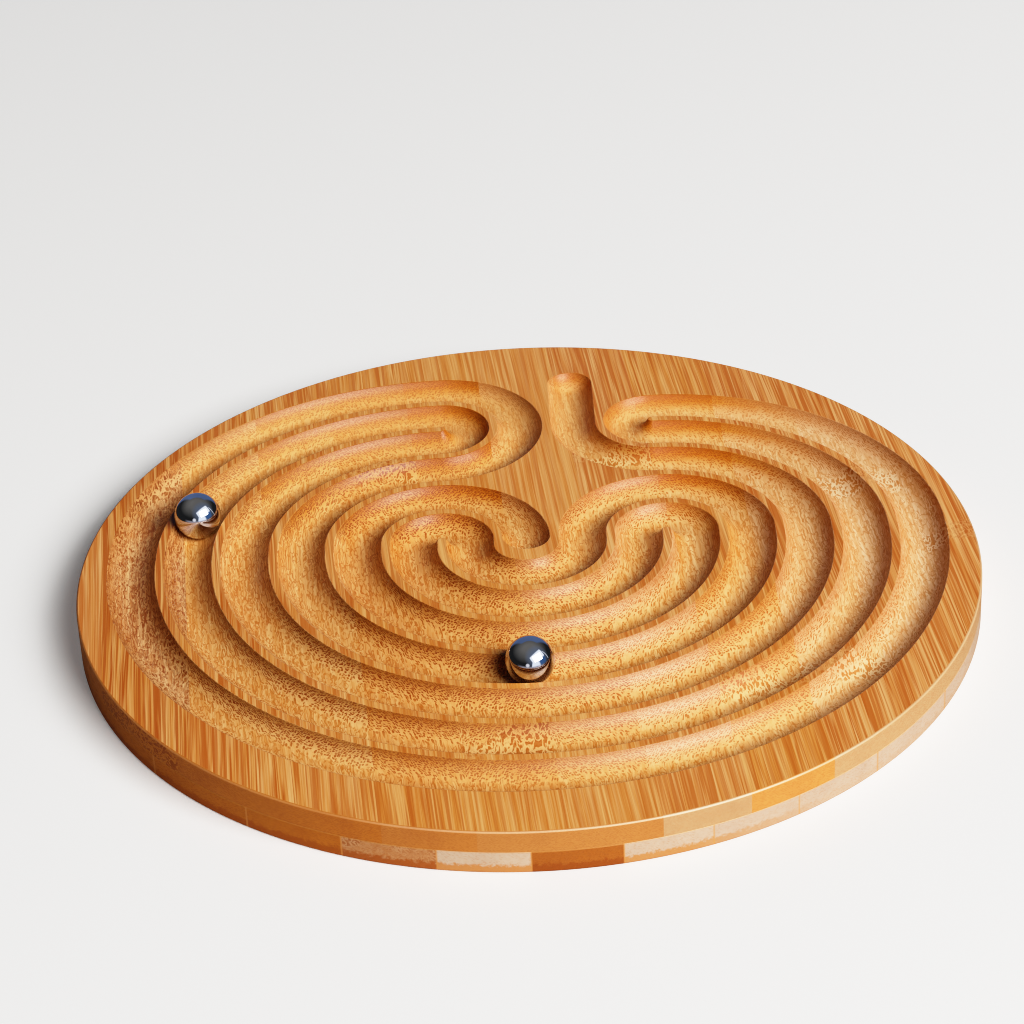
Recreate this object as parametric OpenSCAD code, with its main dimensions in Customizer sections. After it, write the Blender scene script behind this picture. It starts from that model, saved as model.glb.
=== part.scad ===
// Dexterity puzzle: a round two-ply bamboo board with one long round-bottomed
// groove that winds to the middle, and two loose steel balls that run in it.
// +Z is up, the origin is the middle of the flat underside, and the entrance
// of the groove is at the back (+Y).

/* [Board] */
// Diameter of the round board
board_d = 240; // [160:1:320]
// Thickness of each of the two bamboo plies
ply_t = 6; // [4.5:0.5:10]
// Width of the eased edge around the top and the underside
edge_ease = 0.6; // [0.3:0.1:2]

/* [Strips] */
// Width of one bamboo strip
strip_w = 22; // [18:0.5:30]
// Angle between the strips and the groove's front-to-back axis
grain_turn = 4.7; // [-10:0.1:10]
// Distance of the upper ply's middle seam from the board's centre
upper_seam = -3.3; // [-10:0.1:10]
// Distance of the lower ply's middle seam from the board's centre
lower_seam = 9.1; // [-10:0.1:10]

/* [Groove] */
// Distance from lane to lane
lane_pitch = 15.2; // [13:0.1:20]
// Radius of the round-nosed groove
groove_r = 7; // [4:0.1:9]
// Depth of the groove below the top face
groove_depth = 4; // [2:0.1:5]
// Distance of the winding centre behind the board's centre
centre_back = 8.9; // [0:0.1:15]
// Short straight run between the front half circles and the back arcs
side_run = 3; // [1:0.1:8]
// Length of the straight entrance, from its round end to the first bend
entrance_run = 23.5; // [10:0.1:30]

/* [Balls] */
// Diameter of each steel ball
ball_d = 12.7; // [8:0.1:16]
// Where the front ball lies on the fourth lane, as an angle about the winding centre
front_ball_turn = -90.8; // [-175:0.1:-5]
// Where the rear ball lies on the second lane, as an angle about the left turning point
rear_ball_turn = 167.1; // [95:0.1:178]
// Running gap under a ball
ball_gap = 0.15; // [0.05:0.05:0.3]

/* [Hidden] */
$fn = 96;
board_r = board_d / 2;
board_t = 2 * ply_t;
reach = board_r + 5;
// height of the round nose's centre while the groove is cut
nose_z = board_t - groove_depth + groove_r;
p = lane_pitch;
// height of the winding: front centre, inner turning points, outer turning points
y_front = centre_back;
y_inner = centre_back + side_run;
y_outer = y_inner + 4 * p;
// the left and right turning points, to the side of the winding centre
x_left = -1.5 * p;
x_right = 2.5 * p;
ball_z = board_t - groove_depth + ball_d / 2 + ball_gap;
upper_colour = [0.80, 0.56, 0.30];
lower_colour = [0.74, 0.52, 0.29];
steel_colour = [0.78, 0.79, 0.80];

// sideways distance of a point from the strips' middle line
function across(x, y) = x * cos(grain_turn) + y * sin(grain_turn);
// true where a round of radius r about x, y reaches a strip from a to b
function meets(x, y, r, a, b) = across(x, y) - r < b && across(x, y) + r > a;

// outline of half the board, with the eased edges
module board_outline() {
    polygon([
        [0, 0],
        [board_r - edge_ease, 0],
        [board_r, edge_ease],
        [board_r, board_t - edge_ease],
        [board_r - edge_ease, board_t],
        [0, board_t]]);
}

module board_blank() {
    rotate([0, 0, 97]) rotate_extrude(angle = 360) board_outline();
}

// a length of one strip from side a to side b and from z0 to z1
module strip_blank(a, b, z0, z1) {
    intersection() {
        board_blank();
        rotate([0, 0, grain_turn])
            translate([a, -reach, z0])
                cube([b - a, 2 * reach, z1 - z0]);
    }
}

// one bend of the groove about x, y, from angle from, turning by turn
module bend(x, y, r, from, turn) {
    translate([x, y, nose_z])
        rotate([0, 0, from])
            rotate_extrude(angle = turn)
                translate([r, 0]) circle(groove_r);
}

// one straight run of the groove along Y from y to y + length
module run(x, y, length) {
    translate([x, y, nose_z])
        rotate([-90, 0, 0])
            cylinder(r = groove_r, h = length);
}

// round end of the groove, facing the angle toward
module round_end(x, y, toward) {
    translate([x, y, nose_z])
        rotate([0, 0, toward - 90])
            rotate_extrude(angle = 180)
                intersection() {
                    circle(groove_r);
                    translate([0, -groove_r - 1]) square([groove_r + 1, 2 * groove_r + 2]);
                }
}

module bend_near(x, y, r, from, turn, a, b) {
    if (meets(x, y, r + groove_r, a, b)) bend(x, y, r, from, turn);
}

module run_near(x, y, length, a, b) {
    if (meets(x, y + length / 2, groove_r + length / 2, a, b)) run(x, y, length);
}

module round_end_near(x, y, toward, a, b) {
    if (meets(x, y, groove_r, a, b)) round_end(x, y, toward);
}

// the stretch of the groove that crosses a strip from a to b
module groove(a, b) {
    // seven half circles around the front, with a short run at each end
    for (n = [1 : 7]) {
        bend_near(0, y_front, n * p, 180, 180, a, b);
        run_near(-n * p, y_front, side_run, a, b);
        run_near(n * p, y_front, side_run, a, b);
    }
    // back arcs about the left turning points
    for (n = [2 : 5]) bend_near(x_left, y_inner, (n + 0.5) * p, 90, 90, a, b);
    for (n = [0 : 1]) {
        bend_near(x_left, y_inner, (n + 0.5) * p, 0, 180, a, b);
        bend_near(x_left, y_outer, (n + 0.5) * p, -90, 180, a, b);
    }
    // back arcs about the right turning points
    for (n = [2 : 4]) bend_near(x_right, y_inner, (n + 0.5) * p, 0, 90, a, b);
    for (n = [0 : 1]) bend_near(x_right, y_inner, (n + 0.5) * p, 0, 180, a, b);
    bend_near(x_right, y_outer, 0.5 * p, 90, 180, a, b);
    bend_near(x_right, y_outer, 1.5 * p, 180, 90, a, b);
    // straight entrance at the back, and its round end
    run_near(p, y_outer, entrance_run, a, b);
    round_end_near(p, y_outer + entrance_run, 90, a, b);
    // round end at the goal in the middle
    round_end_near(0, y_inner, -90, a, b);
}

// seam n of a ply of count strips, from left to right; the sixth is the middle seam
function seam(n, count, middle) =
    n == 0 ? -reach :
    n == count ? reach :
    middle + (n - 6) * strip_w;

module upper_strip(n) {
    a = seam(n - 1, 12, upper_seam);
    b = seam(n, 12, upper_seam);
    difference() {
        strip_blank(a, b, ply_t, board_t + 1);
        groove(a, b);
    }
}

module lower_strip(n) {
    strip_blank(seam(n - 1, 11, lower_seam), seam(n, 11, lower_seam), -1, ply_t);
}

module ball(x, y, r, turn) {
    translate([x + r * cos(turn), y + r * sin(turn), ball_z]) sphere(d = ball_d);
}

module upper_strip_01() { color(upper_colour) upper_strip(1); }
module upper_strip_02() { color(upper_colour) upper_strip(2); }
module upper_strip_03() { color(upper_colour) upper_strip(3); }
module upper_strip_04() { color(upper_colour) upper_strip(4); }
module upper_strip_05() { color(upper_colour) upper_strip(5); }
module upper_strip_06() { color(upper_colour) upper_strip(6); }
module upper_strip_07() { color(upper_colour) upper_strip(7); }
module upper_strip_08() { color(upper_colour) upper_strip(8); }
module upper_strip_09() { color(upper_colour) upper_strip(9); }
module upper_strip_10() { color(upper_colour) upper_strip(10); }
module upper_strip_11() { color(upper_colour) upper_strip(11); }
module upper_strip_12() { color(upper_colour) upper_strip(12); }
module lower_strip_01() { color(lower_colour) lower_strip(1); }
module lower_strip_02() { color(lower_colour) lower_strip(2); }
module lower_strip_03() { color(lower_colour) lower_strip(3); }
module lower_strip_04() { color(lower_colour) lower_strip(4); }
module lower_strip_05() { color(lower_colour) lower_strip(5); }
module lower_strip_06() { color(lower_colour) lower_strip(6); }
module lower_strip_07() { color(lower_colour) lower_strip(7); }
module lower_strip_08() { color(lower_colour) lower_strip(8); }
module lower_strip_09() { color(lower_colour) lower_strip(9); }
module lower_strip_10() { color(lower_colour) lower_strip(10); }
module lower_strip_11() { color(lower_colour) lower_strip(11); }
module front_ball() { color(steel_colour) ball(0, y_front, 4 * p, front_ball_turn); }
module rear_ball() { color(steel_colour) ball(x_left, y_inner, 4.5 * p, rear_ball_turn); }

upper_strip_01();
upper_strip_02();
upper_strip_03();
upper_strip_04();
upper_strip_05();
upper_strip_06();
upper_strip_07();
upper_strip_08();
upper_strip_09();
upper_strip_10();
upper_strip_11();
upper_strip_12();
lower_strip_01();
lower_strip_02();
lower_strip_03();
lower_strip_04();
lower_strip_05();
lower_strip_06();
lower_strip_07();
lower_strip_08();
lower_strip_09();
lower_strip_10();
lower_strip_11();
front_ball();
rear_ball();
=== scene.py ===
import math

import bmesh
import bpy
import numpy as np
from mathutils import Matrix, Vector
from mathutils.geometry import delaunay_2d_cdt


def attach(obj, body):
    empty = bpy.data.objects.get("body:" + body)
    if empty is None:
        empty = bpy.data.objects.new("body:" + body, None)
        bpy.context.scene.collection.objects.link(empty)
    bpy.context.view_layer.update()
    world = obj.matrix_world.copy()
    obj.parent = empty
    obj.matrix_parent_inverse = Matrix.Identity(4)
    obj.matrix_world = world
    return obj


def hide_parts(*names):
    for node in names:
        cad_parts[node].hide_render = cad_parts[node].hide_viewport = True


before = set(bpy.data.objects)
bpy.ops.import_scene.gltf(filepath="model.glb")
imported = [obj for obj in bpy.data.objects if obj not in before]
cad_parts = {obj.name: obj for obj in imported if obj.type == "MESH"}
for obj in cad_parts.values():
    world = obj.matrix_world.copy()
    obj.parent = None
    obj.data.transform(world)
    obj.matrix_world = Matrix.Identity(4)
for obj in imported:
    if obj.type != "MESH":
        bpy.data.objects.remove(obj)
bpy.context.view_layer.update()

# ------------------------------------------------------------------ sizes, mm
R = 120.0            # board radius
T = 12.0             # board thickness
PLY = 6.0            # one ply
PITCH = 15.2         # lane to lane
NOSE = 7.0           # groove radius
DEPTH = 4.0          # groove depth
YF = 8.9             # winding centre, behind the board's centre
YI = YF + 3.0        # inner turning points
YO = YI + 4 * PITCH  # outer turning points
XL, XR = -1.5 * PITCH, 2.5 * PITCH
ENTRANCE = 23.5
TURN = math.radians(4.7)
GX = Vector((math.cos(TURN), math.sin(TURN), 0.0))
STRIP = 22.0
UPPER_SEAM, LOWER_SEAM = -3.3, 9.1
BALL_R = 6.35
BALL_Z = T - DEPTH + BALL_R + 0.15
ARRIS = 0.35         # round along the groove
RIM = 0.60           # round along the rim
RING = 1080          # points around the rim


# ------------------------------------------------------------------ groove path
def groove_path():
    p = PITCH
    segs = [
        ("L", (p, YO + ENTRANCE), (p, YO)),
        ("A", (XR, YO), 1.5 * p, 180, 270), ("A", (XR, YI), 2.5 * p, 90, 0), ("L", (5 * p, YI), (5 * p, YF)),
        ("A", (0, YF), 5 * p, 0, -180), ("L", (-5 * p, YF), (-5 * p, YI)), ("A", (XL, YI), 3.5 * p, 180, 90),
        ("A", (XL, YO), 0.5 * p, 270, 450), ("A", (XL, YI), 4.5 * p, 90, 180), ("L", (-6 * p, YI), (-6 * p, YF)),
        ("A", (0, YF), 6 * p, 180, 360), ("L", (6 * p, YF), (6 * p, YI)), ("A", (XR, YI), 3.5 * p, 0, 90),
        ("A", (XR, YO), 0.5 * p, 270, 90), ("A", (XR, YI), 4.5 * p, 90, 0), ("L", (7 * p, YI), (7 * p, YF)),
        ("A", (0, YF), 7 * p, 0, -180), ("L", (-7 * p, YF), (-7 * p, YI)), ("A", (XL, YI), 5.5 * p, 180, 90),
        ("A", (XL, YO), 1.5 * p, 90, -90), ("A", (XL, YI), 2.5 * p, 90, 180), ("L", (-4 * p, YI), (-4 * p, YF)),
        ("A", (0, YF), 4 * p, 180, 360), ("L", (4 * p, YF), (4 * p, YI)), ("A", (XR, YI), 1.5 * p, 0, 180),
        ("L", (p, YI), (p, YF)), ("A", (0, YF), p, 0, -180), ("L", (-p, YF), (-p, YI)),
        ("A", (XL, YI), 0.5 * p, 0, 180), ("L", (-2 * p, YI), (-2 * p, YF)), ("A", (0, YF), 2 * p, 180, 360),
        ("L", (2 * p, YF), (2 * p, YI)), ("A", (XR, YI), 0.5 * p, 180, 0), ("L", (3 * p, YI), (3 * p, YF)),
        ("A", (0, YF), 3 * p, 0, -180), ("L", (-3 * p, YF), (-3 * p, YI)), ("A", (XL, YI), 1.5 * p, 180, 0),
    ]
    out = []                                   # (x, y, left normal x, left normal y)
    for s in segs:
        if s[0] == "L":
            a, b = Vector(s[1]), Vector(s[2])
            d = (b - a).normalized()
            n = max(2, int((b - a).length / 1.5))
            rows = [(*(a + (b - a) * (i / n)), -d.y, d.x) for i in range(n + 1)]
        else:
            _, c, r, a0, a1 = s
            a0, a1 = math.radians(a0), math.radians(a1)
            sweep = a1 - a0
            n = max(8, int(math.ceil(abs(sweep) / min(math.radians(4.0), 1.5 / r))))
            sg = -1.0 if sweep > 0 else 1.0    # left of the way: to the centre when turning left
            rows = []
            for i in range(n + 1):
                t = a0 + sweep * i / n
                rows.append((c[0] + r * math.cos(t), c[1] + r * math.sin(t), sg * math.cos(t), sg * math.sin(t)))
        out += rows[1:] if out else rows
    return out


def groove_profile():
    """Half of the groove's cross-section, from its floor outwards: (distance, height, normal out, normal up)."""
    c = math.sqrt((NOSE + ARRIS) ** 2 - (NOSE - DEPTH + ARRIS) ** 2)
    nose_z = T - DEPTH + NOSE
    lim = math.atan2(c, NOSE - DEPTH + ARRIS)
    half = []
    for i in range(14):
        t = lim * i / 13
        half.append((NOSE * math.sin(t), nose_z - NOSE * math.cos(t), -math.sin(t), math.cos(t)))
    for i in range(1, 6):
        t = lim * (1 - i / 5)
        half.append((c - ARRIS * math.sin(t), T - ARRIS + ARRIS * math.cos(t), -math.sin(t), math.cos(t)))
    return half


# ------------------------------------------------------------------ meshes, built in mm
def rim_rings(profile):
    """Points and normals around the board, one ring per (radius, height, normal out, normal up) of the profile."""
    pts, nrm = [], []
    for r, z, no, nu in profile:
        for k in range(RING):
            c, s = math.cos(2 * math.pi * k / RING), math.sin(2 * math.pi * k / RING)
            pts.append((r * c, r * s, z))
            nrm.append((no * c, no * s, nu))
    return pts, nrm


def solid_from(verts, normals, faces, smooth):
    bm = bmesh.new()
    true = bm.verts.layers.float_vector.new("true_normal")
    vs = []
    for v, n in zip(verts, normals):
        vs.append(bm.verts.new(v))
        vs[-1][true] = n
    for f, s in zip(faces, smooth):
        face = bm.faces.new([vs[i] for i in f])
        face.smooth = s
    bm.verts.index_update()
    bm.normal_update()
    return bm


def upper_ply():
    half = groove_profile()
    prof = [(-d, z, -no, nu) for d, z, no, nu in reversed(half[1:])] + half
    m, mid = len(prof), len(half) - 1
    path = groove_path()
    n = len(path)
    verts, normals, faces, smooth = [], [], [], []
    for x, y, nx, ny in path:
        verts += [(x + nx * d, y + ny * d, z) for d, z, _, _ in prof]
        normals += [(nx * no, ny * no, nu) for _, _, no, nu in prof]
    for i in range(n - 1):
        for j in range(m - 1):
            faces.append((i * m + j, (i + 1) * m + j, (i + 1) * m + j + 1, i * m + j + 1))
            smooth.append(True)

    def cap(i, ux, uy, vx, vy, first, steps=30):
        """Round end at path row i, turning from direction u through v to -u. Returns the edge's vertices."""
        x, y = path[i][:2]
        at = {}
        for k in range(len(half)):
            for s in range(steps + 1):
                if k == 0:
                    at[s, k] = i * m + mid
                elif s == 0:
                    at[s, k] = i * m + mid + first * k
                elif s == steps:
                    at[s, k] = i * m + mid - first * k
                else:
                    t = math.pi * s / steps
                    d, z, no, nu = half[k]
                    ox, oy = ux * math.cos(t) + vx * math.sin(t), uy * math.cos(t) + vy * math.sin(t)
                    verts.append((x + d * ox, y + d * oy, z))
                    normals.append((no * ox, no * oy, nu))
                    at[s, k] = len(verts) - 1
        for s in range(steps):
            for k in range(len(half) - 1):
                q = (at[s, k], at[s, k + 1], at[s + 1, k + 1], at[s + 1, k])
                faces.append(q if k else (q[0], q[1], q[2]))
                smooth.append(True)
        return [at[s, len(half) - 1] for s in range(1, steps)]

    x0, y0, nx, ny = path[0]
    start = cap(0, nx, ny, -ny, nx, 1)               # from the left side, back over the start
    nx1, ny1 = path[-1][2:]
    end = cap(n - 1, -nx1, -ny1, ny1, -nx1, -1)      # from the right side, over the end
    hole = [i * m + m - 1 for i in range(n)] + list(reversed(end)) + [i * m for i in range(n - 1, -1, -1)] + list(reversed(start))

    quarter = [(math.sin(math.pi / 2 * k / 7), math.cos(math.pi / 2 * k / 7)) for k in range(8)]
    rim = [(R - RIM + RIM * s, T - RIM + RIM * c, s, c) for s, c in quarter]
    rim += [(R, T - RIM - 1.2, 1, 0), (R, PLY + 1.2, 1, 0), (R, PLY + 0.16, 1, 0), (R - 0.12, PLY, 0.8, -0.6)]
    pts, nrm = rim_rings(rim)
    base = len(verts)
    verts += pts
    normals += nrm
    for a in range(len(rim) - 1):
        for k in range(RING):
            k2 = (k + 1) % RING
            faces.append((base + a * RING + k, base + (a + 1) * RING + k, base + (a + 1) * RING + k2, base + a * RING + k2))
            smooth.append(True)
    last = base + (len(rim) - 1) * RING
    faces.append(tuple(last + k for k in range(RING - 1, -1, -1)))
    smooth.append(False)

    # the flat top, between the rim and the groove's edge
    loop = [base + k for k in range(RING)]
    ids = loop + hole
    pts = [Vector(verts[i][:2]) for i in ids]
    edges = [(k, (k + 1) % RING) for k in range(RING)]
    h = len(hole)
    edges += [(RING + k, RING + (k + 1) % h) for k in range(h)]
    got, _, tris, back, _, _ = delaunay_2d_cdt(pts, edges, [], 0, 1e-6)
    if len(got) != len(pts):
        raise RuntimeError("the flat top gained or lost points")
    where = [ids[b[0]] for b in back]
    flat = np.array([[*g] for g in got])
    tri = np.array(tris)
    mids = flat[tri].mean(axis=1)
    edge = np.array([verts[i][:2] for i in hole])
    nxt = np.roll(edge, -1, axis=0)
    inside = np.zeros(len(mids), bool)
    for lo in range(0, len(mids), 500):              # even-odd test against the groove's edge
        q = mids[lo:lo + 500, None]
        over = (edge[:, 1] > q[..., 1]) != (nxt[:, 1] > q[..., 1])
        drop = np.where(nxt[:, 1] == edge[:, 1], 1.0, nxt[:, 1] - edge[:, 1])
        cross = edge[:, 0] + (q[..., 1] - edge[:, 1]) * (nxt[:, 0] - edge[:, 0]) / drop
        inside[lo:lo + 500] = (over & (q[..., 0] < cross)).sum(axis=1) % 2 == 1
    for t, skip in zip(tris, inside):
        if skip:
            continue
        a, b, c = (got[i] for i in t)
        up = (b - a).cross(c - a) > 0
        f = tuple(where[i] for i in t)
        faces.append(f if up else f[::-1])
        smooth.append(False)
    return solid_from(verts, normals, faces, smooth)


def lower_ply():
    quarter = [(math.cos(math.pi / 2 * k / 7), math.sin(math.pi / 2 * k / 7)) for k in range(8)]
    rim = [(R - 0.12, PLY, 0.8, 0.6), (R, PLY - 0.16, 1, 0), (R, PLY - 1.2, 1, 0), (R, RIM + 1.2, 1, 0)]
    rim += [(R - RIM + RIM * c, RIM - RIM * s, c, -s) for c, s in quarter]
    verts, normals = rim_rings(rim)
    faces, smooth = [], []
    for a in range(len(rim) - 1):
        for k in range(RING):
            k2 = (k + 1) % RING
            faces.append((a * RING + k, (a + 1) * RING + k, (a + 1) * RING + k2, a * RING + k2))
            smooth.append(True)
    last = (len(rim) - 1) * RING
    faces.append(tuple(range(RING)))
    faces.append(tuple(last + k for k in range(RING - 1, -1, -1)))
    smooth += [False, False]
    return solid_from(verts, normals, faces, smooth)


def close_cut(bm):
    rim = [e for e in bm.edges if e.is_boundary]
    if not rim:
        return
    made = bmesh.ops.holes_fill(bm, edges=rim, sides=0)["faces"]
    for f in made:
        f.smooth = False
    bmesh.ops.triangulate(bm, faces=made, quad_method="BEAUTY", ngon_method="EAR_CLIP")


def cut(bm, at, keep_low):
    bmesh.ops.bisect_plane(bm, geom=bm.verts[:] + bm.edges[:] + bm.faces[:], dist=1e-4, plane_co=GX * at, plane_no=GX,
                           clear_outer=keep_low, clear_inner=not keep_low)
    close_cut(bm)


def strips(ply, seams):
    """Cuts a ply along its seams, from left to right."""
    rest, out = ply, []
    for s in seams:
        piece = rest.copy()
        cut(piece, s, True)
        cut(rest, s, False)
        out.append(piece)
    return out + [rest]


def to_object(bm, name, keep_normals=False):
    bmesh.ops.scale(bm, vec=(0.001, 0.001, 0.001), verts=bm.verts)
    me = bpy.data.meshes.new(name)
    bm.to_mesh(me)
    bm.free()
    if keep_normals:                                  # the curved faces keep their true normals across the seams
        nv, nl, nf = len(me.vertices), len(me.loops), len(me.polygons)
        true = np.empty(nv * 3, np.float32)
        me.attributes["true_normal"].data.foreach_get("vector", true)
        true = true.reshape(-1, 3)
        true /= np.maximum(np.linalg.norm(true, axis=1, keepdims=True), 1e-9)
        corner = np.empty(nl, np.int32)
        me.loops.foreach_get("vertex_index", corner)
        count = np.empty(nf, np.int32)
        me.polygons.foreach_get("loop_total", count)
        curved = np.empty(nf, bool)
        me.polygons.foreach_get("use_smooth", curved)
        flat = np.empty(nf * 3, np.float32)
        me.polygons.foreach_get("normal", flat)
        flat = np.repeat(flat.reshape(-1, 3), count, axis=0)
        me.attributes.remove(me.attributes["true_normal"])
        me.normals_split_custom_set(np.where(np.repeat(curved, count)[:, None], true[corner], flat).tolist())
    ob = bpy.data.objects.new(name, me)
    bpy.context.scene.collection.objects.link(ob)
    return ob


# ------------------------------------------------------------------ node helpers
class Tree:
    def __init__(self, name):
        self.mat = bpy.data.materials.new(name)
        self.mat.use_nodes = True
        self.t = self.mat.node_tree
        self.t.nodes.clear()
        self.out = self.t.nodes.new("ShaderNodeOutputMaterial")
        self.bsdf = self.t.nodes.new("ShaderNodeBsdfPrincipled")
        self.t.links.new(self.bsdf.outputs[0], self.out.inputs[0])

    def put(self, socket, value):
        if isinstance(value, bpy.types.NodeSocket):
            self.t.links.new(value, socket)
        elif value is not None:
            socket.default_value = value

    def node(self, kind, **props):
        n = self.t.nodes.new(kind)
        for k, v in props.items():
            setattr(n, k, v)
        return n

    def math(self, op, a, b=None, c=None, clamp=False):
        n = self.node("ShaderNodeMath", operation=op, use_clamp=clamp)
        for s, v in zip(n.inputs, (a, b, c)):
            self.put(s, v)
        return n.outputs[0]

    def vmath(self, op, a, b=None, scale=None):
        n = self.node("ShaderNodeVectorMath", operation=op)
        self.put(n.inputs[0], a)
        if b is not None:
            self.put(n.inputs[1], b)
        if scale is not None:
            self.put(n.inputs["Scale"], scale)
        return n.outputs["Value"] if op in ("DOT_PRODUCT", "LENGTH", "DISTANCE") else n.outputs[0]

    def sep(self, v):
        n = self.node("ShaderNodeSeparateXYZ")
        self.put(n.inputs[0], v)
        return n.outputs

    def comb(self, x, y, z):
        n = self.node("ShaderNodeCombineXYZ")
        for s, v in zip(n.inputs, (x, y, z)):
            self.put(s, v)
        return n.outputs[0]

    def noise(self, vec, scale=1.0, detail=2.0, rough=0.5, colour=False, distortion=0.0):
        n = self.node("ShaderNodeTexNoise", noise_dimensions="3D")
        self.put(n.inputs["Vector"], vec)
        n.inputs["Scale"].default_value = scale
        n.inputs["Detail"].default_value = detail
        n.inputs["Roughness"].default_value = rough
        n.inputs["Distortion"].default_value = distortion
        return n.outputs["Color"] if colour else n.outputs["Fac"]

    def cells(self, vec, jitter=1.0):
        n = self.node("ShaderNodeTexVoronoi", voronoi_dimensions="2D", feature="F1", distance="EUCLIDEAN")
        self.put(n.inputs["Vector"], vec)
        n.inputs["Scale"].default_value = 1.0
        n.inputs["Randomness"].default_value = jitter
        return n.outputs["Distance"], n.outputs["Color"]

    def span(self, v, a, b, c=0.0, d=1.0, smooth=False):
        n = self.node("ShaderNodeMapRange", interpolation_type="SMOOTHSTEP" if smooth else "LINEAR", clamp=True)
        for s, x in zip(n.inputs, (v, a, b, c, d)):
            self.put(s, x)
        return n.outputs[0]

    def mix(self, fac, a, b, blend="MIX"):
        n = self.node("ShaderNodeMix", data_type="RGBA", blend_type=blend, clamp_factor=True)
        self.put(n.inputs[0], fac)
        self.put(n.inputs[6], a)
        self.put(n.inputs[7], b)
        return n.outputs[2]

    def fmix(self, fac, a, b):
        n = self.node("ShaderNodeMix", data_type="FLOAT", clamp_factor=True)
        self.put(n.inputs[0], fac)
        self.put(n.inputs[2], a)
        self.put(n.inputs[3], b)
        return n.outputs[0]

    def bump(self, height, strength, distance):
        n = self.node("ShaderNodeBump")
        self.put(n.inputs["Height"], height)
        n.inputs["Strength"].default_value = strength
        n.inputs["Distance"].default_value = distance
        return n.outputs[0]


def srgb(r, g, b):
    f = lambda c: ((c / 255.0 + 0.055) / 1.055) ** 2.4 if c > 10.31 else c / 255.0 / 12.92
    return (f(r), f(g), f(b), 1.0)


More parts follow.
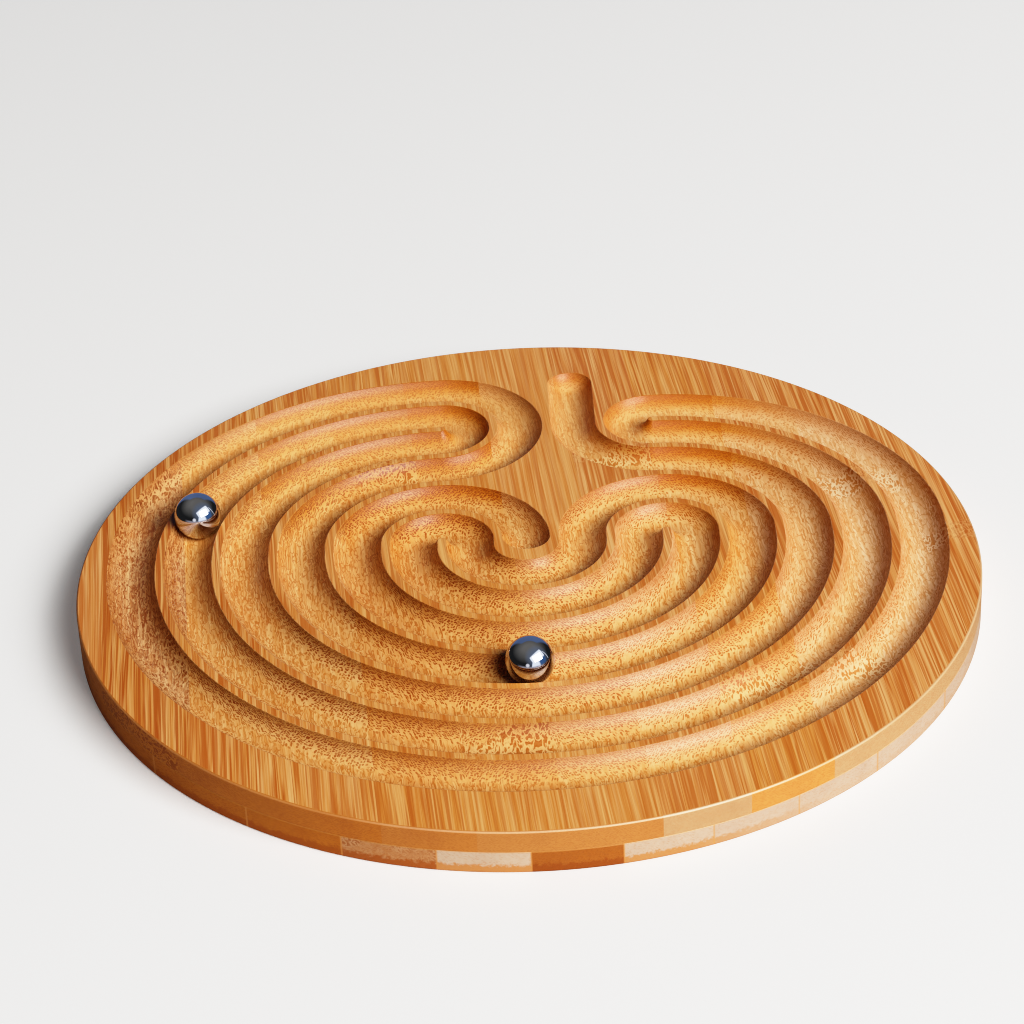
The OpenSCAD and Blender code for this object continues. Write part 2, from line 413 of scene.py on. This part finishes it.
# ------------------------------------------------------------------ bamboo
def bamboo(name, number, ply, top, wall, heart, rim, pitch, bold, thin, dim, grain, patches, mottle, amber):
    """One strip of bamboo. Its fibre bundles run along the strip, so a flat face shows streaks, a face
    cut across them shows dots, and the groove shows every stage between the two. Each tone is (pale fibre,
    body, deep streak, bundle): on the flat face, high on the groove's wall, at the groove's floor and on the
    rim. pitch is the bundles' spacing, bold their size, thin how many are missing away from the skin, dim
    how much darker a wall cut across the fibres is, grain the strength of the flat face's dark lines, amber the
    warmth of the walls towards the back end."""
    t = Tree(name)
    at = t.node("ShaderNodeTexCoord")
    turn = t.node("ShaderNodeMapping", vector_type="POINT")
    t.put(turn.inputs["Vector"], at.outputs["Object"])
    turn.inputs["Scale"].default_value = (1000, 1000, 1000)
    turn.inputs["Rotation"].default_value = (0, 0, -TURN)
    g = turn.outputs[0]                                   # mm: across, along, up
    gx, gy, gz = t.sep(g)
    own = (number * 37.3, number * 211.7, number * 13.1)
    moved = t.vmath("ADD", g, own)

    # where the face lies and how it cuts the fibres
    facing = t.node("ShaderNodeMapping", vector_type="NORMAL")
    t.put(facing.inputs["Vector"], at.outputs["Normal"])
    facing.inputs["Rotation"].default_value = (0, 0, -TURN)
    nx, ny, nz = t.sep(facing.outputs[0])
    across = t.math("ABSOLUTE", ny)
    cut = t.span(across, 0.05, 0.40, smooth=True)
    end = t.span(across, 0.80, 0.97, smooth=True)
    edge = t.span(t.vmath("LENGTH", t.comb(gx, gy, 0.0)), R - 0.62, R - 0.40)
    if ply == "upper":
        face = t.math("MULTIPLY", t.span(nz, 0.96, 0.995), t.span(gz, T - 0.45, T - 0.15))
        skin = t.span(gz, T - DEPTH, T - 0.3)
    else:
        face = t.span(nz, -0.5, -0.95)
        skin = t.span(gz, 2.6, 0.2)
    below = t.math("SUBTRACT", 1.0, face)
    core = t.math("POWER", t.math("SUBTRACT", 1.0, skin), 1.7)
    light, mid, deep, dark = [t.mix(edge, t.mix(face, t.mix(core, w, h), f), r)
                              for f, w, h, r in zip(top, wall, heart, rim)]

    # the fibres wander slowly along the strip, and waver below its skin
    wander = t.noise(t.vmath("MULTIPLY", moved, (0.06, 0.011, 0.06)), detail=1.0, colour=True)
    wander = t.vmath("MULTIPLY", t.vmath("SUBTRACT", wander, (0.5, 0.5, 0.5)), (2.4, 0.0, 1.8))
    waver = t.noise(t.vmath("MULTIPLY", moved, (0.45, 0.30, 0.45)), detail=1.0, colour=True)
    waver = t.vmath("MULTIPLY", t.vmath("SUBTRACT", waver, (0.5, 0.5, 0.5)), (0.80, 0.0, 1.20))
    fib = t.vmath("ADD", t.vmath("ADD", moved, wander), t.vmath("SCALE", waver, scale=below))

    # ragged patches at the culm's joints, and strips that are mottled all along
    joint = None
    if patches:
        ragged = t.noise(t.vmath("MULTIPLY", moved, (0.22, 0.22, 0.22)), detail=3.0)
        ragged = t.math("ADD", gy, t.math("MULTIPLY", t.math("SUBTRACT", ragged, 0.5), 14.0))
        for y, w in patches:
            d = t.math("ABSOLUTE", t.math("SUBTRACT", ragged, y))
            one = t.span(d, w, w * 0.6, smooth=True)
            joint = one if joint is None else t.math("MAXIMUM", joint, one)
        joint = t.math("MULTIPLY", joint, t.fmix(face, 1.0, 0.35))
    if mottle:
        loose = t.noise(t.vmath("MULTIPLY", moved, (0.10, 0.045, 0.10)), detail=2.0)
        loose = t.math("MULTIPLY", t.span(loose, 0.36, 0.54, 0.0, mottle, smooth=True), below)
        loose = t.math("MULTIPLY", loose, t.fmix(cut, 0.35, 1.0))
        joint = loose if joint is None else t.math("MAXIMUM", joint, loose)
    fx, fy, fz = t.sep(fib)

    # bundles
    lift = t.math("DIVIDE", fz, pitch * 0.46)
    side = t.math("ADD", t.math("DIVIDE", fx, pitch), t.math("MULTIPLY", lift, 0.5 if number % 2 else -0.5))
    near, tint = t.cells(t.comb(side, lift, 0.0), 0.55)
    tr, tg, tb = t.sep(tint)
    size = t.span(tr, 0.0, 1.0, bold - 0.035, bold + 0.035)
    bundle = t.span(t.math("SUBTRACT", size, near), -0.04, 0.10, smooth=True)
    gone = t.math("MULTIPLY", core, thin)
    bundle = t.math("MULTIPLY", bundle, t.span(t.math("SUBTRACT", tb, gone), -0.04, 0.06))
    bundle = t.math("MULTIPLY", bundle, t.span(tg, 0.0, 0.7, 0.70, 1.0))

    # streaks in the body between them
    broad = t.noise(t.vmath("MULTIPLY", fib, (0.24, 0.0035, 0.24)), detail=2.0)
    fine = t.noise(t.vmath("MULTIPLY", fib, (0.95, 0.007, 0.95)), detail=2.0, rough=0.6)
    hair = t.noise(t.vmath("MULTIPLY", fib, (3.4, 0.045, 3.4)), detail=2.0)
    streak = t.math("ADD", t.math("MULTIPLY", t.span(broad, 0.34, 0.66), 0.16),
                    t.math("ADD", t.math("MULTIPLY", t.span(fine, 0.38, 0.60), 0.50), t.math("MULTIPLY", t.span(hair, 0.36, 0.62), 0.34)))
    body = t.mix(t.span(streak, 0.08, 0.34), t.mix(0.45, mid, deep), mid)
    body = t.mix(t.math("MULTIPLY", t.span(streak, 0.34, 0.86), t.fmix(face, 0.75, 1.0)), body, light)
    calm = t.math("MAXIMUM", t.math("MULTIPLY", end, 0.75), t.math("MULTIPLY", edge, 0.60))
    calm = t.math("MAXIMUM", calm, t.math("MULTIPLY", cut, 0.45))
    body = t.mix(calm, body, t.mix(0.35, mid, light))
    line = t.noise(t.vmath("MULTIPLY", fib, (0.98, 0.014, 0.98)), detail=1.0)
    line = t.span(line, 0.53, 0.62, 0.0, grain * 0.90)
    thread = t.noise(t.vmath("MULTIPLY", fib, (0.58, 0.006, 0.58)), detail=1.0)
    thread = t.span(t.math("ABSOLUTE", t.math("SUBTRACT", thread, 0.5)), 0.020, 0.060, grain * grain, 0.0)
    thread = t.math("MULTIPLY", thread, t.span(t.noise(t.vmath("MULTIPLY", fib, (0.9, 0.035, 0.9)), detail=1.0), 0.38, 0.58))
    needle = t.noise(t.vmath("MULTIPLY", fib, (2.1, 0.018, 2.1)), detail=1.0)
    thread = t.math("MAXIMUM", thread, t.span(needle, 0.50, 0.62, 0.0, grain * grain * 0.75))
    line = t.math("MULTIPLY", t.math("MAXIMUM", line, thread), t.math("SUBTRACT", 1.0, t.math("MAXIMUM", cut, edge)))
    dash = t.span(t.noise(t.vmath("MULTIPLY", fib, (1.55, 0.055, 1.55)), detail=1.0), 0.40, 0.60)
    body = t.mix(t.math("MULTIPLY", t.math("MULTIPLY", below, t.span(skin, 0.2, 1.0, 1.0, 0.70)), t.fmix(t.math("MAXIMUM", cut, edge), 0.55, 0.12)), body, t.mix(dash, t.mix(0.55, mid, deep), t.mix(0.70, mid, light)))
    body = t.mix(t.math("MULTIPLY", line, t.fmix(face, 0.5, 1.0)), body, t.mix(0.15, deep, dark))
    curl = t.noise(t.vmath("MULTIPLY", t.vmath("ADD", moved, t.vmath("SCALE", waver, scale=0.8)), (0.82, 0.20, 0.82)), detail=1.0)
    curl = t.span(t.math("ABSOLUTE", t.math("SUBTRACT", curl, 0.5)), 0.008, 0.042, 1.0, 0.0, smooth=True)
    curl = t.math("MULTIPLY", t.math("MULTIPLY", curl, below), t.math("MULTIPLY", t.fmix(cut, 0.85, 0.10), t.math("SUBTRACT", 1.0, edge)))
    curl = t.math("MULTIPLY", curl, t.span(gy, 25.0, 85.0, 1.0, 0.45))
    body = t.mix(curl, body, t.mix(0.55, deep, dark))

    spot = t.mix(cut, t.mix(0.45, deep, dark), dark)
    strength = t.fmix(cut, t.fmix(face, 0.70, 0.24), 0.95)
    strength = t.math("MULTIPLY", strength, t.math("SUBTRACT", 1.0, t.math("MULTIPLY", edge, 0.62)))
    strength = t.math("MULTIPLY", strength, t.span(gy, 25.0, 85.0, 1.0, 0.50))
    strength = t.math("MULTIPLY", strength, t.span(gy, -105.0, -60.0, 0.68, 1.0))
    strength = t.math("MULTIPLY", strength, t.span(skin, 0.70, 1.0, 1.0, 0.62))
    colour = t.mix(t.math("MULTIPLY", bundle, strength), body, spot)
    if joint is not None:
        worm = t.noise(t.vmath("MULTIPLY", t.vmath("ADD", moved, t.vmath("SCALE", waver, scale=1.2)), (0.95, 0.40, 0.95)), detail=1.0)
        worm = t.span(t.math("ABSOLUTE", t.math("SUBTRACT", worm, 0.5)), 0.045, 0.115, 1.0, 0.0, smooth=True)
        net = t.mix(worm, t.mix(0.70, deep, dark), light)
        colour = t.mix(t.math("MULTIPLY", joint, 0.80), colour, net)
    if dim:
        shade = t.math("MULTIPLY", t.math("MULTIPLY", cut, below), t.span(skin, 0.1, 1.0, 0.0, dim))
        shade = t.math("MULTIPLY", shade, t.math("SUBTRACT", 1.0, edge))
        colour = t.mix(shade, colour, (0.52, 0.40, 0.26, 1), "MULTIPLY")
    if amber:
        tint = t.math("MULTIPLY", t.math("MULTIPLY", below, t.span(gz, T - DEPTH + 0.2, T - 1.7)), t.span(gy, 10.0, 40.0, 0.0, amber, smooth=True))
        tint = t.math("MULTIPLY", tint, t.span(gx, 64.0, 98.0, 1.0, 0.0))
        colour = t.mix(t.math("MULTIPLY", tint, t.math("SUBTRACT", 1.0, edge)), colour, (0.85, 0.60, 0.20, 1), "MULTIPLY")
    # pale round along the rim's top arris: partly wear, partly a painted highlight; on the upper ply it turns
    # near-white, whitest between about 15 and 45 mm right of the centre line
    wear_and_highlight = t.math("MULTIPLY", t.span(nz, 0.15, 0.45, 0.0, 0.80 if ply == "upper" else 0.45), t.span(nz, 0.98, 0.80))
    painted_highlight_white = t.math("MULTIPLY", t.span(gx, -60.0, 15.0, 0.12, 0.50), t.span(gx, 45.0, 80.0, 1.0, 0.25))
    colour = t.mix(t.math("MULTIPLY", wear_and_highlight, edge), colour, t.mix(painted_highlight_white, light, srgb(255, 226, 196)) if ply == "upper" else mid)

    # warmth from the press, a deeper band along the lower rim's bottom, and the joint between the plies
    blotch = t.noise(t.vmath("MULTIPLY", moved, (0.10, 0.015, 0.10)), detail=3.0)
    colour = t.mix(t.span(blotch, 0.50, 0.75, 0.0, 0.14), colour, mid, "MULTIPLY")
    if ply == "lower":
        # the lower rim turns to its deep tone towards the bottom edge, fading out towards the right
        rise = t.math("ADD", gz, t.math("MULTIPLY", t.math("SUBTRACT", fine, 0.5), 3.0))
        low = t.math("MULTIPLY", edge, t.span(rise, 2.7, 1.9, 0.0, 0.92))
        low = t.math("MULTIPLY", low, t.span(gx, 25.0, 60.0, 1.0, 0.15))
        colour = t.mix(low, colour, deep)
        step = t.math("DIVIDE", t.math("SUBTRACT", gx, LOWER_SEAM), STRIP)
        glue = t.math("ABSOLUTE", t.math("SUBTRACT", step, t.math("ROUND", step)))
        glue = t.math("MULTIPLY", edge, t.span(glue, 0.12 / STRIP, 0.30 / STRIP, 0.65, 0.0))
        colour = t.mix(glue, colour, srgb(198, 130, 64))
    seam = t.span(t.math("ABSOLUTE", t.math("SUBTRACT", gz, PLY)), 0.10, 0.26, 0.30, 0.0)
    colour = t.mix(t.math("MULTIPLY", seam, edge), colour, srgb(214, 152, 82))

    t.put(t.bsdf.inputs["Base Color"], colour)
    rough = t.math("ADD", t.span(fine, 0.3, 0.7, 0.42, 0.50), t.math("MULTIPLY", bundle, 0.08))
    t.put(t.bsdf.inputs["Roughness"], rough)
    t.bsdf.inputs["Specular IOR Level"].default_value = 0.38
    t.bsdf.inputs["Coat Weight"].default_value = 0.12
    t.bsdf.inputs["Coat Roughness"].default_value = 0.30
    height = t.math("SUBTRACT", t.math("MULTIPLY", hair, 0.35), t.math("MULTIPLY", bundle, t.fmix(face, 0.8, 0.15)))
    t.put(t.bsdf.inputs["Normal"], t.bump(height, 0.25, 0.00006))
    return t.mat


def steel(name, seed):
    t = Tree(name)
    at = t.node("ShaderNodeTexCoord").outputs["Object"]
    mm = t.vmath("ADD", t.vmath("SCALE", at, scale=1000.0), (seed, seed * 2.0, seed * 3.0))
    wipe = t.noise(t.vmath("MULTIPLY", mm, (0.22, 0.22, 0.22)), detail=3.0)
    lines = t.noise(t.vmath("MULTIPLY", mm, (9.0, 0.7, 4.0)), detail=2.0, distortion=0.6)
    t.put(t.bsdf.inputs["Base Color"], t.mix(t.span(wipe, 0.35, 0.7), (0.50, 0.51, 0.54, 1), (0.60, 0.61, 0.64, 1)))
    t.bsdf.inputs["Metallic"].default_value = 1.0
    t.put(t.bsdf.inputs["Roughness"], t.math("ADD", t.span(wipe, 0.35, 0.75, 0.03, 0.07), t.span(lines, 0.60, 0.72, 0.0, 0.03)))
    t.put(t.bsdf.inputs["Normal"], t.bump(lines, 0.04, 0.00002))
    return t.mat


def tone(*rows):
    return tuple(srgb(*c) for c in rows)


def between(a, b, f):
    return tuple(tuple(x + (y - x) * f for x, y in zip(p, q)) for p, q in zip(a, b))


# tones: pale fibre, body, deep streak, bundle
TOP = tone((239, 180, 110), (219, 144, 66), (190, 98, 18), (150, 64, 6))
HONEY = tone((241, 181, 112), (229, 157, 84), (205, 120, 40), (150, 66, 6))
STRAW = tone((247, 203, 146), (238, 177, 110), (209, 128, 50), (148, 64, 6))
AMBER = tone((243, 182, 116), (232, 160, 88), (213, 131, 50), (184, 96, 18))
PALE = tone((243, 192, 146), (233, 171, 120), (215, 140, 72), (190, 106, 34))
TAN = tone((228, 170, 110), (196, 125, 64), (154, 81, 23), (114, 46, 6))
# at the groove's floor
HEART_1 = tone((241, 184, 117), (227, 160, 91), (204, 123, 46), (160, 76, 10))
HEART_2 = tone((246, 202, 138), (235, 177, 108), (210, 135, 56), (176, 96, 24))
HEART_3 = tone((249, 216, 174), (243, 198, 150), (224, 162, 98), (194, 122, 54))
HEART_T = tone((243, 202, 146), (224, 160, 98), (176, 98, 36), (118, 50, 8))
HEART_M = between(HEART_1, HEART_2, 0.7)
# on the rim
BROWN = tone((190, 114, 36), (180, 102, 26), (160, 82, 14), (136, 60, 4))
RUSSET = tone((188, 110, 24), (180, 101, 18), (162, 82, 10), (138, 62, 4))
WARM = tone((193, 127, 63), (182, 116, 55), (166, 92, 30), (146, 72, 16))
GOLD = tone((211, 141, 71), (201, 127, 58), (186, 102, 29), (161, 82, 16))
CREAM = tone((191, 151, 108), (181, 137, 94), (182, 108, 48), (168, 96, 40))
WHITE = tone((190, 164, 142), (182, 154, 132), (182, 122, 66), (172, 110, 56))
IVORY = tone((200, 174, 150), (190, 162, 137), (190, 122, 60), (174, 106, 48))
RUST = tone((170, 98, 30), (160, 87, 22), (144, 71, 11), (122, 54, 4))
MIXED = tone((194, 146, 102), (174, 108, 53), (160, 82, 22), (138, 62, 11))

# each strip: tone high on the wall, at the groove's floor and on the rim; bundle spacing, size, thinning,
# shade across the fibres, lines of the flat face, joints of the culm (place, half width), mottling, amber tint
# of the walls towards the strip's back end
UPPER = [
    (PALE, HEART_2, BROWN, 0.71, 0.40, 0.4, 0.6, 0.8, [], 0.0, 0.0),
    (TAN, HEART_T, BROWN, 0.71, 0.41, 0.3, 0.5, 1.0, [], 0.9, 0.0),
    (STRAW, HEART_M, BROWN, 0.69, 0.42, 0.35, 0.95, 1.0, [], 0.0, 0.1),
    (STRAW, HEART_M, BROWN, 0.69, 0.42, 0.35, 0.95, 0.9, [], 0.0, 0.75),
    (HONEY, between(HEART_1, HEART_2, 0.2), between(BROWN, WARM, 0.5), 0.70, 0.42, 0.35, 0.95, 0.78, [(56.0, 5.0)], 0.0, 0.45),
    (HONEY, between(HEART_1, HEART_2, 0.3), WARM, 0.70, 0.42, 0.35, 0.80, 0.55, [(-81.0, 6.5)], 0.0, 0.9),
    (between(HONEY, PALE, 0.4), between(HEART_1, HEART_2, 0.6), WARM, 0.71, 0.41, 0.4, 0.75, 0.55, [], 0.0, 0.0),
    (PALE, between(HEART_1, HEART_2, 0.95), CREAM, 0.73, 0.38, 0.45, 0.75, 0.9, [(53.0, 5.0)], 0.0, 0.8),
    (AMBER, between(HEART_2, HEART_3, 0.2), GOLD, 0.73, 0.39, 0.45, 0.75, 0.9, [(-65.0, 5.0)], 0.0, 1.0),
    (PALE, between(HEART_2, HEART_3, 0.5), CREAM, 0.73, 0.38, 0.45, 0.55, 1.0, [(-61.0, 6.0)], 0.0, 1.0),
    (PALE, between(HEART_2, HEART_3, 0.9), CREAM, 0.73, 0.37, 0.45, 0.5, 1.0, [(29.0, 6.0)], 0.0, 1.0),
    (PALE, HEART_3, CREAM, 0.73, 0.37, 0.45, 0.5, 1.0, [(-5.5, 6.0)], 0.0, 0.0),
]
LOWER = [
    (TAN, TAN, RUSSET, 0.80, 0.36, 0.3, 0.0, 0.7, [], 0.0, 0.0), (TAN, TAN, RUSSET, 0.80, 0.36, 0.3, 0.0, 0.7, [], 0.0, 0.0),
    (TAN, TAN, RUSSET, 0.80, 0.36, 0.3, 0.0, 0.7, [], 0.0, 0.0), (TAN, TAN, MIXED, 0.85, 0.36, 0.3, 0.0, 0.7, [], 0.8, 0.0),
    (PALE, PALE, IVORY, 0.90, 0.32, 0.5, 0.0, 0.7, [], 0.0, 0.0), (TAN, TAN, RUST, 0.75, 0.36, 0.1, 0.0, 0.7, [], 0.0, 0.0),
    (PALE, PALE, between(IVORY, WHITE, 0.5), 0.95, 0.32, 0.5, 0.0, 0.7, [], 0.0, 0.0), (PALE, PALE, WHITE, 0.92, 0.32, 0.5, 0.0, 0.7, [], 0.0, 0.0),
    (PALE, PALE, WHITE, 0.98, 0.32, 0.5, 0.0, 0.7, [], 0.0, 0.0), (PALE, PALE, WHITE, 0.92, 0.32, 0.5, 0.0, 0.7, [], 0.0, 0.0),
    (PALE, PALE, WHITE, 0.95, 0.32, 0.5, 0.0, 0.7, [], 0.0, 0.0),
]

upper_seams = [UPPER_SEAM + (k - 6) * STRIP for k in range(1, 12)]
lower_seams = [LOWER_SEAM + (k - 6) * STRIP for k in range(1, 11)]

for ply, seams, label, looks in ((upper_ply(), upper_seams, "upper", UPPER), (lower_ply(), lower_seams, "lower", LOWER)):
    for k, bm in enumerate(strips(ply, seams)):
        node = "%s_strip_%02d" % (label, k + 1)
        ob = to_object(bm, "bamboo_" + node, keep_normals=True)
        wall, heart, rim, *rest = looks[k]
        number = k + 1 + (0 if label == "upper" else 20)
        top = between(wall, TOP, 0.8)
        ob.data.materials.append(bamboo("bamboo_" + node, number, label, top, wall, heart, rim, *rest))
        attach(ob, "board")
        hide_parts(node)


def ball(name, node, x, y, seed):
    bm = bmesh.new()
    bmesh.ops.create_icosphere(bm, subdivisions=6, radius=BALL_R)
    for f in bm.faces:
        f.smooth = True
    bmesh.ops.translate(bm, verts=bm.verts, vec=(x, y, BALL_Z))
    ob = to_object(bm, name)
    ob.data.materials.append(steel("polished_steel_" + node, seed))
    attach(ob, node)
    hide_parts(node)


a = math.radians(-90.8)
ball("steel_front_ball", "front_ball", 4 * PITCH * math.cos(a), YF + 4 * PITCH * math.sin(a), 3.0)
a = math.radians(167.1)
ball("steel_rear_ball", "rear_ball", XL + 4.5 * PITCH * math.cos(a), YI + 4.5 * PITCH * math.sin(a), 8.0)

# ------------------------------------------------------------------ floor
me = bpy.data.meshes.new("floor")
me.from_pydata([(-6, -6, 0), (6, -6, 0), (6, 6, 0), (-6, 6, 0)], [], [(0, 1, 2, 3)])
floor = bpy.data.objects.new("floor", me)
bpy.context.scene.collection.objects.link(floor)
ft = Tree("pale_floor")
fpos = ft.node("ShaderNodeTexCoord").outputs["Object"]
ft.put(ft.bsdf.inputs["Base Color"], ft.mix(ft.noise(fpos, scale=3.0, detail=2.0), (0.91, 0.91, 0.91, 1), (0.93, 0.93, 0.93, 1)))
ft.bsdf.inputs["Roughness"].default_value = 0.7
ft.bsdf.inputs["Emission Color"].default_value = (1, 1, 1, 1)
ft.bsdf.inputs["Emission Strength"].default_value = 0.15
me.materials.append(ft.mat)
floor.visible_glossy = False

# ------------------------------------------------------------------ light
world = bpy.data.worlds.new("studio")
bpy.context.scene.world = world
world.use_nodes = True
wt = world.node_tree
sky = wt.nodes["Background"]
path = wt.nodes.new("ShaderNodeLightPath")
coord = wt.nodes.new("ShaderNodeTexCoord")
split = wt.nodes.new("ShaderNodeSeparateXYZ")
wt.links.new(coord.outputs["Generated"], split.inputs[0])


def wnode(kind, *inputs, **props):
    n = wt.nodes.new(kind)
    for k, v in props.items():
        setattr(n, k, v)
    for s, v in zip(n.inputs, inputs):
        if isinstance(v, bpy.types.NodeSocket):
            wt.links.new(v, s)
        elif v is not None:
            s.default_value = v
    return n


def blend(fac, a, b):
    n = wt.nodes.new("ShaderNodeMix")
    n.data_type = "RGBA"
    for s, v in zip((n.inputs[0], n.inputs[6], n.inputs[7]), (fac, a, b)):
        if isinstance(v, bpy.types.NodeSocket):
            wt.links.new(v, s)
        else:
            s.default_value = v
    return n.outputs[2]


def slope(v, a, b):
    return wnode("ShaderNodeMapRange", v, a, b, 0.0, 1.0).outputs[0]


# what polished steel mirrors: a dim studio, bluish at its far end and around the soft light
WAZ, WEL = math.radians(-46.0), math.radians(36.0)
LAMP = Vector((math.cos(WAZ) * math.cos(WEL), math.sin(WAZ) * math.cos(WEL), math.sin(WEL)))
glow = wnode("ShaderNodeVectorMath", coord.outputs["Generated"], tuple(LAMP), operation="DOT_PRODUCT").outputs["Value"]
dusk = blend(slope(split.outputs[2], 0.28, 0.92), (0.040, 0.041, 0.042, 1), (0.235, 0.225, 0.210, 1))
studio = blend(slope(glow, 0.50, 0.90), dusk, (0.20, 0.24, 0.32, 1))


def dot(v):
    return wnode("ShaderNodeVectorMath", coord.outputs["Generated"], tuple(v), operation="DOT_PRODUCT").outputs["Value"]


def both(*masks):
    m = masks[0]
    for k in masks[1:]:
        m = wnode("ShaderNodeMath", m, k, operation="MULTIPLY").outputs[0]
    return m


# the soft light's frame, a little tilted, with a thin strip beyond its right end, and the lit ground below it
level = Vector((-math.sin(WAZ), math.cos(WAZ), 0.0))
steep = LAMP.cross(level)
tilt = math.radians(8.6)
ahead = wnode("ShaderNodeMath", glow, 0.05, operation="MAXIMUM").outputs[0]
along = wnode("ShaderNodeMath", dot(level * math.cos(tilt) + steep * math.sin(tilt)), ahead, operation="DIVIDE").outputs[0]
over = wnode("ShaderNodeMath", dot(steep * math.cos(tilt) - level * math.sin(tilt)), ahead, operation="DIVIDE").outputs[0]
inside = slope(glow, 0.10, 0.30)
lean = wnode("ShaderNodeMath", over, -0.88, along, operation="MULTIPLY_ADD").outputs[0]
shade = both(slope(along, -0.10, 0.06), slope(along, 0.80, 0.60), slope(over, -0.85, -0.65), slope(over, -0.10, -0.25), inside)
studio = blend(shade, studio, (0.095, 0.190, 0.40, 1))
ground = both(slope(lean, -0.58, -0.46), slope(along, 0.02, -0.12), slope(over, -1.30, -1.10), slope(over, -0.05, -0.20), inside)
studio = blend(ground, studio, (1.45, 1.60, 1.90, 1))
pane = both(slope(along, -0.64, -0.54), slope(along, 0.72, 0.66), slope(over, -0.26, -0.16), slope(over, 0.46, 0.36), inside)
studio = blend(pane, studio, (1.60, 1.72, 1.95, 1))
edge = wnode("ShaderNodeMath", over, 0.535, along, operation="MULTIPLY_ADD").outputs[0]
strip = both(slope(edge, 0.80, 0.84), slope(edge, 0.94, 0.90), slope(over, -0.95, -0.75), slope(over, 0.20, 0.05), inside)
studio = blend(strip, studio, (1.10, 1.15, 1.25, 1))
beyond = wnode("ShaderNodeMath", wnode("ShaderNodeMath", split.outputs[0], operation="ABSOLUTE").outputs[0],
               wnode("ShaderNodeMath", split.outputs[1], 0.05, operation="MAXIMUM").outputs[0], operation="DIVIDE").outputs[0]
low = both(slope(beyond, 0.86, 0.58), slope(split.outputs[1], 0.45, 0.60), slope(split.outputs[2], 0.76, 0.69), slope(split.outputs[2], -0.34, -0.22))
studio = blend(low, studio, (0.155, 0.215, 0.38, 1))
nigh = both(slope(split.outputs[1], -0.50, -0.85), slope(split.outputs[2], 0.10, -0.02), slope(split.outputs[2], -0.30, -0.16))
studio = blend(nigh, studio, (0.52, 0.49, 0.56, 1))
studio = blend(slope(dot((-0.205, -0.966, 0.155)), 0.984, 0.997), studio, (1.3, 1.3, 1.4, 1))
fill = blend(path.outputs["Is Glossy Ray"], (0.0075, 0.0060, 0.0042, 1), studio)
wt.links.new(blend(path.outputs["Is Camera Ray"], fill, (0.96, 0.96, 0.96, 1)), sky.inputs[0])


def area(name, pos, target, w, h, power, colour):
    d = bpy.data.lights.new(name, "AREA")
    d.shape = "RECTANGLE"
    d.size, d.size_y = w, h
    d.energy = power
    d.color = colour
    o = bpy.data.objects.new(name, d)
    o.location = pos
    o.rotation_euler = (Vector(target) - Vector(pos)).to_track_quat("-Z", "Y").to_euler()
    bpy.context.scene.collection.objects.link(o)
    return o


area("soft_light", LAMP * 3.0, (0, 0, 0.0), 2.2, 1.5, 162.5, (1.0, 0.985, 0.96))

# ------------------------------------------------------------------ camera
EL, ROLL, DIST = math.radians(31.11), math.radians(-2.90), 7.065 * 0.120
target = Vector((-0.0035, 0.2071 * 0.120, 0.012))
back = Vector((0, -math.cos(EL), math.sin(EL)))
right = Vector((1, 0, 0))
up = back.cross(right)
r2 = right * math.cos(ROLL) + up * math.sin(ROLL)
u2 = -right * math.sin(ROLL) + up * math.cos(ROLL)
cam = bpy.data.cameras.new("camera")
cam.sensor_fit = "HORIZONTAL"
cam.sensor_width = 36.0
cam.lens = 36.0 * 3100.0 / 1024.0
cam_ob = bpy.data.objects.new("camera", cam)
m = Matrix((r2, u2, back)).transposed().to_4x4()
m.translation = target + back * DIST
cam_ob.matrix_world = m
bpy.context.scene.collection.objects.link(cam_ob)
bpy.context.scene.camera = cam_ob

# the picture's tone: a soft shoulder above, a slight toe below
bpy.context.scene.cycles.filter_width = 1.1   # a crisp lens
view = bpy.context.scene.view_settings
view.view_transform = "Standard"
view.use_curve_mapping = True
curve = view.curve_mapping
curve.use_clip = True
curve.clip_max_x = curve.clip_max_y = 2.2
for channel in curve.curves[:3]:
    channel.points[1].location = (2.2, 2.2)
points = curve.curves[3].points
points[0].location, points[1].location = (0.0, 0.0), (2.2, 1.0)
for x, y in ((0.01, 0.003), (0.02, 0.0078), (0.05, 0.030), (0.10, 0.079), (0.20, 0.190), (0.30, 0.302), (0.55, 0.560), (0.80, 0.750), (1.05, 0.862), (1.50, 0.955)):
    points.new(x, y)
curve.update()
